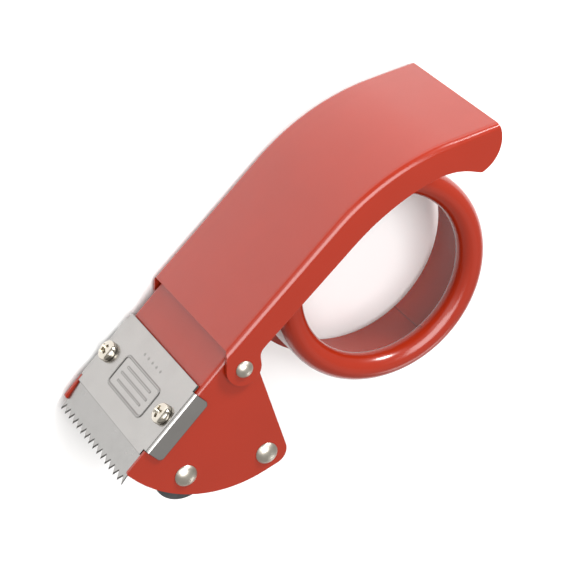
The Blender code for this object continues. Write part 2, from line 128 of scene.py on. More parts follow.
# blade, cover and screws
BLADE_HALF = 24.7
BLADE_SHEET = 0.4
BLADE_REAR_X = -19.0
BLADE_FOLD_X = -40.6
BLADE_ROOT_X = -48.7
BLADE_TIP_X = -51.3
BLADE_TEETH = 15
BLADE_DIP = 5.0
BLADE_GRIND = 0.34        # how far the teeth are ground back along their top
BLADE_LAND = 0.06         # the height left square under the grinding
COVER_SHEET = 0.7
COVER_HALF = 26.8
COVER_TONGUE_HALF = 25.3
COVER_FRONT_HALF = 24.6
COVER_REAR_X = -12.6
COVER_FRONT_X = -40.2
COVER_FLANGE_X = (-38.0, -15.0)
COVER_FLANGE_Y = 1.3
COVER_BEND = 1.6
COVER_CORNER = 1.3
COVER_ROWS = 330
COVER_COLUMNS = 130
BADGE_CENTRE = (-27.7, 0.5)      # the pressed frame, as (x, z)
BADGE_HALF = (5.35, 12.5)
BADGE_CORNER = 1.6
BADGE_BARS = ((-30.3, 8.5), (-27.7, 9.5), (-25.1, 8.5))     # (x, half length)
FRAME_RIB = (0.38, 0.62)         # a rib's height and half width
BAR_RIB = (0.30, 0.55)
DOT_RIB = (0.26, 0.6)
DOT_ROW_X = -18.4
DOT_PLACES = (-6.0, -3.0, 0.0, 3.0, 6.0)
SCREW_X = -26.6
SCREW_Z = 21.2
SCREW_RADIUS = 1.95
SCREW_HEAD_RADIUS = 3.5
SCREW_HEAD_HEIGHT = 2.6
SCREW_HEAD_RIM = 0.5
SCREW_HEAD_CHAMFER = 0.15
SCREW_FALL = 0.62
SCREW_PAST_NUT = 0.3
SCREW_TIP = 0.5
RECESS_DEPTH = 1.7
RECESS_TOP_REACH = 0.6    # how far the driver point stands above the head
RECESS_TOP = (5.2, 1.35)  # length and width of the driver point's arms at their top, and at its tip
RECESS_TIP = (1.8, 0.8)
NUT_FLATS = 7.0
NUT_HEIGHT = 3.2
NUT_CHAMFER = 0.5
NUT_HOLE_STEPS = 64

# pivots
PIVOT_RADIUS = 2.0
PIVOT_HEAD_RADIUS = 2.9
PIVOT_HEAD_HEIGHT = 1.5
RIVET_STEPS = 96
RIVET_FALL = 1.5          # how a set rivet's dome falls away to its rim; 1 would be an ellipse
PIVOT_FALL = 1.4
PIVOT_FOOT = 0.9          # thickness of the rivet's foot inside the plate
PIVOT_FOOT_CHAMFER = 0.3

# camera and light, with places in millimetres from the pivot axis
CAMERA_PLACE = (67.23, 424.68, 558.84)
CAMERA_AIM = (-0.05825, -0.61640, -0.78528)
CAMERA_ROLL = 133.746
CAMERA_LENS = 141.25
CAMERA_SENSOR = 36.0
FLOOR_HALF = 3.0          # metres
LIT_POINT = (25.0, -15.0, 0.0)
WORLD_TINT = (1.0, 0.97, 0.93, 1.0)
WORLD_GLOW = 0.43

# levels that follow from the sizes above
GAP = 0.1                 # between pieces that are clamped or riveted together
BLADE_LOW = HEAD_TOP + GAP
COVER_LOW = BLADE_LOW + BLADE_SHEET + GAP
COVER_TOP = COVER_LOW + COVER_SHEET
HEAD_INSIDE = HEAD_HALF - HEAD_SHEET
HANDLE_INSIDE = HANDLE_HALF - HANDLE_SHEET


# ---- outlines ---------------------------------------------------------------------------------

def arc_steps(radius, turn):
    """How many straight steps keep an arc within the allowed sagitta; the turn is in radians."""
    facet = 2 * math.acos(1 - SAGITTA / radius)
    return max(3, math.ceil(abs(turn) / facet))


def arc(centre, radius, start, end):
    """Points along an arc, from one angle to another in degrees."""
    first, last = math.radians(start), math.radians(end)
    steps = arc_steps(radius, last - first)
    angles = [first + (last - first) * i / steps for i in range(steps + 1)]
    return [(centre[0] + radius * math.cos(a), centre[1] + radius * math.sin(a)) for a in angles]


def circle(centre, radius):
    return arc(centre, radius, 0.0, 360.0)[:-1]


def filleted(corners):
    """A closed outline whose corners (x, y, radius) are rounded; a radius of 0 stays sharp."""
    points = []
    for i, (x, y, radius) in enumerate(corners):
        corner = Vector((x, y))
        back = (Vector(corners[i - 1][:2]) - corner).normalized()
        ahead = (Vector(corners[(i + 1) % len(corners)][:2]) - corner).normalized()
        if radius == 0:
            points.append(tuple(corner))
            continue
        opening = back.angle(ahead)
        turn = math.copysign(math.pi - opening, -back.cross(ahead))
        centre = corner + (back + ahead).normalized() * radius / math.sin(opening / 2)
        spoke = corner + back * radius / math.tan(opening / 2) - centre
        steps = arc_steps(radius, turn)
        for step in range(steps + 1):
            points.append(tuple(centre + Matrix.Rotation(turn * step / steps, 2) @ spoke))
    return points


def handle_web(depth, rear_x):
    """The handle's top line, or a line that far beneath it, from the tail to the web's front."""
    fall, droop = math.radians(WEB_FALL), math.radians(TAIL_DROOP)
    middle, half = (fall + droop) / 2, (droop - fall) / 2
    reach = depth / math.cos(half)
    droop_y = WEB_FRONT[1] - (DROOP_X - WEB_FRONT[0]) * math.tan(fall)
    bend_x = DROOP_X - reach * math.sin(middle)
    bend_y = droop_y - reach * math.cos(middle)
    return [(rear_x, bend_y - (rear_x - bend_x) * math.tan(droop), 0),
            (bend_x, bend_y, DROOP_RADIUS - depth),
            (WEB_FRONT[0], bend_y + (bend_x - WEB_FRONT[0]) * math.tan(fall), 0)]


def crown(radius, height, base, side, fall):
    """A head's profile from its top to its rim; a fall of 1 is an ellipse, and more is shallower."""
    turns = [math.pi / 2 * i / CROWN_STEPS for i in range(CROWN_STEPS)]
    points = [(radius * math.sin(t), side * (base + height * math.cos(t) ** fall)) for t in turns]
    return [*points, (radius, side * base)]


def ring_profile(outer, inner, low, high, chamfer):
    """A tube's section with its four corners cut."""
    return [(outer, high - chamfer), (outer, low + chamfer),
            (outer - chamfer, low), (inner + chamfer, low),
            (inner, low + chamfer), (inner, high - chamfer),
            (inner + chamfer, high), (outer - chamfer, high)]


# ---- meshes -----------------------------------------------------------------------------------

def new_piece(name, bm, smooth=30.0):
    """Turns a bmesh in millimetres into a piece in its place in the frame."""
    bmesh.ops.remove_doubles(bm, verts=bm.verts, dist=0.0001)
    bmesh.ops.recalc_face_normals(bm, faces=bm.faces)
    mesh = bpy.data.meshes.new(name)
    bm.to_mesh(mesh)
    bm.free()
    mesh.transform(PLACE)
    mesh.shade_smooth()
    mesh.set_sharp_from_angle(angle=math.radians(smooth))
    piece = bpy.data.objects.new(name, mesh)
    bpy.context.scene.collection.objects.link(piece)
    return piece


def sheet(outline, low, high):
    """A flat outline drawn across z from low to high, as a bmesh."""
    bm = bmesh.new()
    face = bm.faces.new([bm.verts.new((x, y, low)) for x, y in outline])
    drawn = bmesh.ops.extrude_face_region(bm, geom=[face])
    raised = [v for v in drawn["geom"] if isinstance(v, bmesh.types.BMVert)]
    bmesh.ops.translate(bm, verts=raised, vec=(0.0, 0.0, high - low))
    bmesh.ops.recalc_face_normals(bm, faces=bm.faces)
    return bm


def block(low, high):
    """A box between two opposite corners, as a bmesh."""
    bm = bmesh.new()
    bmesh.ops.create_cube(bm, size=1.0)
    bmesh.ops.scale(bm, verts=bm.verts, vec=[b - a for a, b in zip(low, high)])
    bmesh.ops.translate(bm, verts=bm.verts, vec=[(a + b) / 2 for a, b in zip(low, high)])
    return bm


def spun(profile, closed, steps, place=(0.0, 0.0, 0.0), turn=None):
    """A profile of (radius, height) points spun about z, then turned and moved to its place."""
    bm = bmesh.new()
    verts = [bm.verts.new((r, 0.0, h)) for r, h in profile]
    count = len(verts)
    spans = count if closed else count - 1
    edges = [bm.edges.new((verts[i], verts[(i + 1) % count])) for i in range(spans)]
    bmesh.ops.spin(bm, geom=verts + edges, cent=(0, 0, 0), axis=(0, 0, 1), angle=2 * math.pi,
                   steps=steps, use_merge=True)
    bmesh.ops.remove_doubles(bm, verts=bm.verts, dist=0.0005)
    bmesh.ops.recalc_face_normals(bm, faces=bm.faces)
    if turn is not None:
        bmesh.ops.transform(bm, matrix=turn, verts=bm.verts)
    bmesh.ops.translate(bm, verts=bm.verts, vec=place)
    return bm


def round_long_edges(bm, radius, half, line):
    """Round the edges that follow a line of (x, y) points at z = half and z = -half."""
    near = 0.005
    on_line = {(round(x / near), round(y / near)) for x, y in line}

    def follows(vert):
        spot = (round(vert.co.x / near), round(vert.co.y / near))
        return abs(abs(vert.co.z) - half) < near and spot in on_line

    edges = [e for e in bm.edges if follows(e.verts[0]) and follows(e.verts[1])
             and (e.verts[0].co - e.verts[1].co).xy.length > near]
    bmesh.ops.bevel(bm, geom=edges, offset=radius, offset_type='OFFSET', segments=8, profile=0.5,
                    affect='EDGES', clamp_overlap=False, material=-1)


def carve(piece, tool, operation):
    """Cuts one piece with another, or joins them, and drops the tool."""
    boolean = piece.modifiers.new("carve", 'BOOLEAN')
    boolean.operation = operation
    boolean.object = tool
    boolean.solver = 'EXACT'
    graph = bpy.context.evaluated_depsgraph_get()
    shaped = bpy.data.meshes.new_from_object(piece.evaluated_get(graph))
    piece.modifiers.clear()
    spent = [piece.data, tool.data]
    piece.data = shaped
    bpy.data.objects.remove(tool, do_unlink=True)
    for mesh in spent:
        bpy.data.meshes.remove(mesh)


def soften(piece, width, segments=2):
    """Rounds every sharp edge of a sheet-metal piece by a width in millimetres."""
    bevel = piece.modifiers.new("soft_edges", 'BEVEL')
    bevel.width = width * 0.001
    bevel.segments = segments
    bevel.limit_method = 'ANGLE'
    bevel.angle_limit = math.radians(SHARP_TURN)
    bevel.harden_normals = True
    bevel.use_clamp_overlap = True


def drill(piece, centre, radius, low, high):
    """A round hole along z from low to high."""
    carve(piece, new_piece("drill", sheet(circle(centre, radius), low, high)), 'DIFFERENCE')


def drill_for_screws(piece):
    """Two clearance holes along y for the cover's screws."""
    upright = Matrix.Rotation(math.radians(-90), 3, 'X')
    reach = 6.0
    for z in (SCREW_Z, -SCREW_Z):
        pin = sheet(circle((SCREW_X, -z), SCREW_RADIUS + 2 * GAP), HEAD_TOP - reach, COVER_TOP + reach)
        bmesh.ops.rotate(pin, verts=pin.verts, cent=(0, 0, 0), matrix=upright)
        carve(piece, new_piece("drill", pin), 'DIFFERENCE')


# ---- finishes ---------------------------------------------------------------------------------

def blank_material(name, colour, roughness, metallic):
    """A material, its node tree, its shader and the place on the piece that its textures follow."""
    material = bpy.data.materials.new(name)
    material.use_nodes = True
    tree = material.node_tree
    shader = tree.nodes["Principled BSDF"]
    shader.inputs["Base Color"].default_value = (*colour, 1.0)
    shader.inputs["Roughness"].default_value = roughness
    shader.inputs["Metallic"].default_value = metallic
    place = tree.nodes.new("ShaderNodeTexCoord").outputs["Object"]
    return material, tree, shader, place


def stretched(tree, place, scale):
    """A place scaled differently along each axis, which draws a texture out into a grain."""
    mapping = tree.nodes.new("ShaderNodeMapping")
    mapping.inputs["Scale"].default_value = scale
    tree.links.new(place, mapping.inputs["Vector"])
    return mapping.outputs["Vector"]


def noise_at(tree, place, scale, detail=2.0, roughness=0.5):
    texture = tree.nodes.new("ShaderNodeTexNoise")
    texture.inputs["Scale"].default_value = scale
    texture.inputs["Detail"].default_value = detail
    texture.inputs["Roughness"].default_value = roughness
    tree.links.new(place, texture.inputs["Vector"])
    return texture.outputs["Fac"]


def spread(tree, value, low, high, lowest=0.3, highest=0.7):
    """A value between two marks, spread over a new range."""
    ranged = tree.nodes.new("ShaderNodeMapRange")
    ranged.inputs["From Min"].default_value = lowest
    ranged.inputs["From Max"].default_value = highest
    ranged.inputs["To Min"].default_value = low
    ranged.inputs["To Max"].default_value = high
    tree.links.new(value, ranged.inputs["Value"])
    return ranged.outputs["Result"]


def tinted(tree, factor, first, second):
    """A colour between two, by a factor."""
    mix = tree.nodes.new("ShaderNodeMix")
    mix.data_type = 'RGBA'
    mix.inputs["A"].default_value = (*first, 1.0)
    mix.inputs["B"].default_value = (*second, 1.0)
    tree.links.new(factor, mix.inputs["Factor"])
    return mix.outputs["Result"]


def relief(tree, shader, layers):
    """Stacks bump layers (height, strength, depth in metres) under a shader."""
    normal = None
    for height, strength, depth in layers:
        bump = tree.nodes.new("ShaderNodeBump")
        bump.inputs["Strength"].default_value = strength
        bump.inputs["Distance"].default_value = depth
        tree.links.new(height, bump.inputs["Height"])
        if normal is not None:
            tree.links.new(normal, bump.inputs["Normal"])
        normal = bump.outputs["Normal"]
    tree.links.new(normal, shader.inputs["Normal"])


def mark(bm, values):
    """Stores how much each corner point is darkened: painted shade on pressed ribs' flanks and ground
    teeth, and a dark line along cut edges and the drum's seam.
    """
    layer = bm.verts.layers.float.new("painted_shade_and_seam")
    bm.verts.ensure_lookup_table()
    for index, value in values.items():
        bm.verts[index][layer] = value


def darken_by_painted_shade_and_seam(tree, colour, shade):
    """Darkens a colour by the stored amount: painted shade on ribs and teeth, dark lines along cut edges
    and the seam.
    """
    painted_shade_and_seam = tree.nodes.new("ShaderNodeAttribute")
    painted_shade_and_seam.attribute_name = "painted_shade_and_seam"
    mix = tree.nodes.new("ShaderNodeMix")
    mix.data_type = 'RGBA'
    mix.blend_type = 'MULTIPLY'
    mix.inputs["B"].default_value = (shade, shade, shade, 1.0)
    tree.links.new(painted_shade_and_seam.outputs["Fac"], mix.inputs["Factor"])
    tree.links.new(colour, mix.inputs["A"])
    return mix.outputs["Result"]


def red_enamel():
    """Baked enamel: faint unevenness of colour, orange peel and a few fine dust nibs."""
    material, tree, shader, place = blank_material("red_enamel", (0.26, 0.016, 0.004), 0.2, 0.0)
    cloud = noise_at(tree, place, 60.0, 2.0)
    paint = tinted(tree, spread(tree, cloud, 0.0, 1.0), (0.258, 0.0160, 0.0038), (0.270, 0.0168, 0.0042))
    tree.links.new(darken_by_painted_shade_and_seam(tree, paint, 0.45), shader.inputs["Base Color"])
    tree.links.new(spread(tree, noise_at(tree, place, 260.0, 3.0), 0.19, 0.24), shader.inputs["Roughness"])
    shader.inputs["IOR"].default_value = 1.5
    shader.inputs["Coat Weight"].default_value = 0.15
    shader.inputs["Coat Roughness"].default_value = 0.1
    peel = noise_at(tree, place, 480.0, 1.0)
    nibs = spread(tree, noise_at(tree, place, 1900.0, 0.0), 0.0, 1.0, 0.74, 0.84)
    relief(tree, shader, [(peel, 0.06, 0.00006), (nibs, 0.15, 0.00002)])
    return material


def stainless_steel():
    """Satin rolled sheet, with its grain along the cover's length and a few handling marks; painted shade
    darkens the flanks of its pressed ribs, and its cut edges are darkened too.
    """
    material, tree, shader, place = blank_material("stainless_steel", (0.60, 0.59, 0.57), 0.34, 1.0)
    grain = noise_at(tree, stretched(tree, place, (2600.0, 2600.0, 70.0)), 1.0, 3.0)
    marks = noise_at(tree, stretched(tree, place, (500.0, 500.0, 90.0)), 1.0, 4.0)
    cloud = noise_at(tree, place, 120.0, 3.0)
    sheet_colour = tinted(tree, spread(tree, cloud, 0.0, 1.0),
                          (0.350, 0.341, 0.332), (0.372, 0.363, 0.353))
    # painted shade on the pressed ribs' flanks, and a darker line along the cut edges
    tree.links.new(darken_by_painted_shade_and_seam(tree, sheet_colour, 0.42), shader.inputs["Base Color"])
    tree.links.new(spread(tree, marks, 0.21, 0.25), shader.inputs["Roughness"])
    relief(tree, shader, [(grain, 0.06, 0.00001)])
    return material


def blade_steel():
    """Bright spring strip, ground across its teeth, with painted shade darkening the teeth's outline
    faces.
    """
    material, tree, shader, place = blank_material("blade_steel", (0.56, 0.56, 0.55), 0.28, 1.0)
    lines = noise_at(tree, stretched(tree, place, (60.0, 2600.0, 3200.0)), 1.0, 2.0)
    cloud = noise_at(tree, place, 300.0, 3.0)
    strip_colour = tinted(tree, spread(tree, cloud, 0.0, 1.0),
                          (0.300, 0.295, 0.288), (0.322, 0.317, 0.310))
    # painted shade: the teeth's side faces and square land are darkened
    tree.links.new(darken_by_painted_shade_and_seam(tree, strip_colour, 0.45), shader.inputs["Base Color"])
    tree.links.new(spread(tree, cloud, 0.24, 0.28), shader.inputs["Roughness"])
    relief(tree, shader, [(lines, 0.06, 0.00001)])
    return material


def nickel_plate(name, dullest, brightest):
    """Warm plating with light tumbling marks, between two roughnesses."""
    material, tree, shader, place = blank_material(name, (0.55, 0.51, 0.45), dullest, 1.0)
    cloud = noise_at(tree, place, 500.0, 4.0)
    tree.links.new(tinted(tree, spread(tree, cloud, 0.0, 1.0), (0.50, 0.465, 0.40), (0.58, 0.545, 0.48)),
                   shader.inputs["Base Color"])
    tree.links.new(spread(tree, cloud, brightest, dullest), shader.inputs["Roughness"])
    dents = noise_at(tree, place, 1100.0, 1.0)
    relief(tree, shader, [(dents, 0.06, 0.00003)])
    return material


def zinc_plate():
    """Dull blue-white zinc on washers and nuts, with a fine spangle."""
    material, tree, shader, place = blank_material("zinc_plate", (0.52, 0.54, 0.57), 0.42, 1.0)
    spangle = tree.nodes.new("ShaderNodeTexVoronoi")
    spangle.inputs["Scale"].default_value = 1100.0
    tree.links.new(place, spangle.inputs["Vector"])
    flake = spangle.outputs["Distance"]
    shine = spread(tree, flake, 0.0, 1.0, 0.1, 0.8)
    plating = tinted(tree, shine, (0.46, 0.48, 0.51), (0.58, 0.60, 0.62))
    tree.links.new(plating, shader.inputs["Base Color"])
    tree.links.new(spread(tree, noise_at(tree, place, 700.0, 3.0), 0.34, 0.5), shader.inputs["Roughness"])
    relief(tree, shader, [(flake, 0.06, 0.00004)])
    return material


def black_rubber():
    """Ground rubber with a fine turned texture and a little paper dust."""
    material, tree, shader, place = blank_material("black_rubber", (0.035, 0.037, 0.039), 0.62, 0.0)
    dust = noise_at(tree, place, 420.0, 5.0, 0.65)
    tree.links.new(tinted(tree, spread(tree, dust, 0.0, 1.0, 0.45, 0.75), (0.030, 0.032, 0.034),
                          (0.060, 0.062, 0.064)), shader.inputs["Base Color"])
    tree.links.new(spread(tree, dust, 0.55, 0.78), shader.inputs["Roughness"])
    rings = noise_at(tree, stretched(tree, place, (300.0, 300.0, 2600.0)), 1.0, 2.0)
    relief(tree, shader, [(rings, 0.25, 0.00005), (noise_at(tree, place, 3000.0), 0.2, 0.00003)])
    return material


def grey_nylon():
    """Moulded nylon: slightly mottled, with a soft sheen."""
    material, tree, shader, place = blank_material("grey_nylon", (0.30, 0.30, 0.31), 0.48, 0.0)
    mottle = noise_at(tree, place, 260.0, 4.0)
    tree.links.new(tinted(tree, spread(tree, mottle, 0.0, 1.0), (0.26, 0.26, 0.27), (0.34, 0.34, 0.35)),
                   shader.inputs["Base Color"])
    tree.links.new(spread(tree, mottle, 0.40, 0.56), shader.inputs["Roughness"])
    relief(tree, shader, [(noise_at(tree, place, 1500.0), 0.12, 0.00005)])
    return material


FINISHES = {
    "enamel": red_enamel(),
    "stainless": stainless_steel(),
    "blade_steel": blade_steel(),
    "nickel": nickel_plate("nickel_plate", 0.40, 0.32),
    "zinc": zinc_plate(),
    "rubber": black_rubber(),
    "plastic": grey_nylon(),
}
SCREW_PLATE = nickel_plate("bright_screw_plate", 0.20, 0.13)


def dress(piece, node, body, slot, finish=None):
    """Gives a piece its finish, the body that it moves with and the CAD node that it stands for."""
    piece.data.materials.clear()
    piece.data.materials.append(finish or FINISHES[slot])
    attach(piece, body)
    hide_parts(node)


# ---- handle -----------------------------------------------------------------------------------

def handle_solid(start, depth, half):
    """A solid under the handle's web line; start is the rest of its outline."""
    rear_x = TAIL_X if depth == 0 else TAIL_X + TAIL_SPARE
    outline = filleted([*start, *handle_web(depth, rear_x)])
    bm = sheet(outline, -half, half)
    droop_points = arc_steps(DROOP_RADIUS - depth, math.radians(TAIL_DROOP - WEB_FALL)) + 1
    web_points = droop_points + 2
    round_long_edges(bm, HANDLE_BEND - depth, half, outline[-web_points:])
    return bm


def make_handle():
    """A channel with two ears, its mouth drawn from the ears to the rounded tail, then hollowed."""
    below = [
        (-EAR_RADIUS, EAR_CORNER_Y, EAR_RADIUS), (-EAR_RADIUS, -EAR_RADIUS, EAR_RADIUS),
        (2.8, -EAR_RADIUS, EAR_RADIUS), (7.0, -0.55, 3.5), (65.8, -3.2, 78.0),
        (86.9, -13.05, 22.8), (92.1, -22.9, 1.8), (101.9, -25.85, 11.2),
    ]
    handle = new_piece("handle_shell", handle_solid(below, 0.0, HANDLE_HALF))
    above_y, ahead_x, beneath_y = 20.0, -12.0, -60.0
    around = [(WEB_FRONT[0], above_y, 0), (ahead_x, above_y, 0), (ahead_x, beneath_y, 0),
              (TAIL_X + TAIL_SPARE, beneath_y, 0)]
    carve(handle, new_piece("hollow", handle_solid(around, HANDLE_SHEET, HANDLE_INSIDE)), 'DIFFERENCE')
    drill(handle, (0.0, 0.0), EAR_HOLE, -THROUGH, THROUGH)
    soften(handle, PAINT_EDGE)
    dress(handle, "handle_channel", "handle", "enamel")


# ---- head -------------------------------------------------------------------------------------

def head_plate_outline():
    """A side plate, from its guard beside the blade round to its tongue by the handle's pivot."""
    heel_x, heel_y = HEEL
    neck_x = heel_x + (HEAD_TONGUE_Y - heel_y) / math.tan(math.radians(HEEL_SLOPE))
    shoulder_y = HEAD_TOP - HEAD_BEND - PLATE_STEP
    guard_x = COVER_FLANGE_X[0] - PLATE_STEP
    return filleted([
        (HEAD_FRONT_X, GUARD_TOP, 0.8), (HEAD_FRONT_X, -22.8, 41.3), (heel_x, heel_y, 5.0),
        (neck_x, HEAD_TONGUE_Y, 4.0), (HEAD_REAR_X, HEAD_TONGUE_Y, 1.5), (HEAD_REAR_X, shoulder_y, 0),
        (guard_x, shoulder_y, 0), (guard_x, GUARD_TOP, 0),
    ])


def make_head():
    """The web and its two bends, joined to both side plates, then drilled."""
    low_y = HEAD_TOP - HEAD_BEND - 1.0
    web = block((HEAD_WEB_FRONT_X, low_y, -HEAD_HALF), (HEAD_REAR_X, HEAD_TOP, HEAD_HALF))
    round_long_edges(web, HEAD_BEND, HEAD_HALF, [(HEAD_WEB_FRONT_X, HEAD_TOP), (HEAD_REAR_X, HEAD_TOP)])
    head = new_piece("head_shell", web)
    under_y = HEAD_TOP - HEAD_SHEET
    spare = 5.0
    ends = (HEAD_WEB_FRONT_X - spare, HEAD_REAR_X + spare)
    hollow = block((ends[0], low_y - spare, -HEAD_INSIDE), (ends[1], under_y, HEAD_INSIDE))
    round_long_edges(hollow, HEAD_BEND - HEAD_SHEET, HEAD_INSIDE, [(x, under_y) for x in ends])
    carve(head, new_piece("hollow", hollow), 'DIFFERENCE')
    for low in (HEAD_INSIDE, -HEAD_HALF):
        carve(head, new_piece("plate", sheet(head_plate_outline(), low, low + HEAD_SHEET)), 'UNION')
    pins = ((FRONT_AXLE, AXLE_RADIUS), (REAR_AXLE, AXLE_RADIUS), ((0.0, 0.0), PIVOT_RADIUS))
    for centre, radius in pins:
        drill(head, centre, radius + GAP, -THROUGH, THROUGH)
    for centre in ARM_RIVETS:
        drill(head, centre, ARM_RIVET_RADIUS + GAP, -THROUGH, 0.0)
    drill_for_screws(head)
    soften(head, PAINT_EDGE)
    dress(head, "head_frame", "head", "enamel")


# ---- drum and arm -----------------------------------------------------------------------------

def make_drum():
    """A band with its near edge curled inward, its far edge turned out, and a welded seam across it."""
    lip_high = -HEAD_HALF + LIP_SHEET
    curl_centre = (DRUM_RADIUS - CURL_RADIUS, CURL_Z)
    outside = arc(curl_centre, CURL_RADIUS, CURL_TURN, 0.0)
    inside = arc(curl_centre, CURL_RADIUS - DRUM_SHEET, 0.0, CURL_TURN)
    profile = [*outside, (DRUM_RADIUS, lip_high), (LIP_RADIUS, lip_high), (LIP_RADIUS, -HEAD_HALF),
               (DRUM_RADIUS - DRUM_SHEET, -HEAD_HALF), *inside]
    bm = spun(profile, True, DRUM_STEPS, (*DRUM_CENTRE, 0.0))
    pitch = 360.0 / DRUM_STEPS
    seam_turn = round(SEAM_TURN / pitch) * pitch
    bm.verts.index_update()
    seam = {}
    for vert in bm.verts:
        if vert.co.z < CURL_Z + 0.01:
            arm = Vector((vert.co.x - DRUM_CENTRE[0], vert.co.y - DRUM_CENTRE[1]))
            radius, turn = arm.length, math.degrees(math.atan2(arm.y, arm.x))
            away = turn - seam_turn
            if abs(away) < 0.5 * pitch:
                radius -= SEAM_DEPTH
                seam[vert.index] = 1.0
            elif abs(away) < 1.5 * pitch:
                turn = seam_turn + math.copysign(SEAM_HALF, away)
            vert.co.x = DRUM_CENTRE[0] + radius * math.cos(math.radians(turn))
            vert.co.y = DRUM_CENTRE[1] + radius * math.sin(math.radians(turn))
    mark(bm, seam)
    drum = new_piece("drum_shell", bm, 180.0)
    soften(drum, PAINT_EDGE)
    dress(drum, "tape_drum", "head", "enamel")


def make_arm():
    """A flat arm from the head's far plate to a ring that backs the drum's lip."""
    top_y = HEAD_TOP - HEAD_SHEET - 0.5
    ring = arc(DRUM_CENTRE, LIP_RADIUS, -185.0, 122.0)
    shoulder = filleted([(*ring[-1], 0), (ARM_SHOULDER_X, top_y, 8.0), (ARM_FRONT_X, top_y, 3.0),
                         (ARM_FRONT_X, -19.0, 5.0), (-3.0, -21.0, 18.0), (*ring[0], 0)])
    low = -HEAD_INSIDE + GAP
    high = low + ARM_SHEET
    arm = new_piece("arm_plate", sheet(ring + shoulder[1:-1], low, high))
    through = (low - 5.0, high + 5.0)
    drill(arm, DRUM_CENTRE, DRUM_RADIUS + 2 * GAP, *through)
    drill(arm, (0.0, 0.0), PIVOT_RADIUS + GAP, *through)
    for centre in ARM_RIVETS:
        drill(arm, centre, ARM_RIVET_RADIUS + GAP, *through)
    soften(arm, PAINT_EDGE)
    dress(arm, "drum_arm", "head", "enamel")


# ---- rollers, axles and washers ---------------------------------------------------------------

def make_tube(name, node, body, slot, outer, inner, low, high, centre, chamfer, steps=SLEEVE_STEPS):
    """A plain tube or washer along z, in its finish."""
    profile = ring_profile(outer, inner, low, high, chamfer)
    dress(new_piece(name, spun(profile, True, steps, (*centre, 0.0))), node, body, slot)


def make_rollers():
    """Both rollers, their riveted axles and a washer at each of their ends."""
    ends = (-ROLLER_HALF, ROLLER_HALF)
    make_tube("rubber_tyre", "front_roller_tyre", "front_roller", "rubber", FRONT_TYRE_RADIUS,
              FRONT_CORE_RADIUS + GAP, *ends, FRONT_AXLE, 0.5, ROLLER_STEPS)
    make_tube("front_core_sleeve", "front_roller_core", "front_roller", "plastic", FRONT_CORE_RADIUS,
              ROLLER_BORE, *ends, FRONT_AXLE, 0.3)
    make_tube("rear_sleeve", "rear_roller", "rear_roller", "plastic", REAR_ROLLER_RADIUS,
              ROLLER_BORE, *ends, REAR_AXLE, 0.4)
    for label, centre in (("front", FRONT_AXLE), ("rear", REAR_AXLE)):
        base = HEAD_HALF + GAP
        near = crown(AXLE_HEAD_RADIUS, AXLE_HEAD_HEIGHT, base, 1, RIVET_FALL)
        far = crown(AXLE_HEAD_RADIUS, AXLE_HEAD_HEIGHT, base, -1, RIVET_FALL)
        profile = [*near, (AXLE_RADIUS, base), (AXLE_RADIUS, -base), *reversed(far)]
        axle = new_piece(f"{label}_axle_rivet", spun(profile, False, RIVET_STEPS, (*centre, 0.0)))
        dress(axle, f"{label}_axle", "head", "nickel")
        for side, low in (("near", ROLLER_HALF + GAP), ("far", -ROLLER_HALF - GAP - WASHER_SHEET)):
            make_tube(f"{label}_{side}_spacer", f"{label}_roller_washer_{side}", "head", "zinc",
                      WASHER_RADIUS, AXLE_RADIUS + GAP, low, low + WASHER_SHEET, centre,
                      WASHER_CHAMFER, RIVET_STEPS)


def make_pivots():
    """A rivet and a spacing washer at each ear; the far rivet also passes through the arm."""
    seats = {1: HEAD_INSIDE - GAP, -1: HEAD_INSIDE - 2 * GAP - ARM_SHEET}
    for side, sign in (("near", 1), ("far", -1)):
        base = HANDLE_HALF + GAP
        foot = seats[sign] - PIVOT_FOOT
        profile = [*crown(PIVOT_HEAD_RADIUS, PIVOT_HEAD_HEIGHT, base, sign, PIVOT_FALL),
                   (PIVOT_RADIUS, sign * base), (PIVOT_RADIUS, sign * seats[sign]),
                   (PIVOT_HEAD_RADIUS, sign * seats[sign]),
                   (PIVOT_HEAD_RADIUS - PIVOT_FOOT_CHAMFER, sign * foot), (0.0, sign * foot)]
        rivet = new_piece(f"{side}_ear_rivet", spun(profile, False, RIVET_STEPS))
        dress(rivet, f"pivot_rivet_{side}", "head", "nickel")
        faces = sorted((sign * (HEAD_HALF + GAP), sign * (HANDLE_INSIDE - GAP)))
        make_tube(f"{side}_ear_spacer", f"pivot_washer_{side}", "head", "zinc", EAR_RADIUS - 1.0,
                  PIVOT_RADIUS + GAP, *faces, (0.0, 0.0), WASHER_CHAMFER, RIVET_STEPS)


def make_arm_rivets():
    """Two rivets that hold the arm to the head's far plate."""
    low = HEAD_HALF + GAP
    high = -HEAD_INSIDE + ARM_SHEET + 2 * GAP
    for label, centre in zip(("upper", "lower"), ARM_RIVETS):
        inner = crown(ARM_RIVET_HEAD_RADIUS, ARM_RIVET_HEAD_HEIGHT, high, 1, RIVET_FALL)
        outer = crown(ARM_RIVET_HEAD_RADIUS, ARM_RIVET_HEAD_HEIGHT, low, -1, RIVET_FALL)
        profile = [*inner, (ARM_RIVET_RADIUS, high), (ARM_RIVET_RADIUS, -low), *reversed(outer)]
        rivet = new_piece(f"{label}_plate_rivet", spun(profile, False, ARM_RIVET_STEPS, (*centre, 0.0)))
        dress(rivet, f"arm_rivet_{label}", "head", "nickel")


# ---- blade, cover and screws ------------------------------------------------------------------

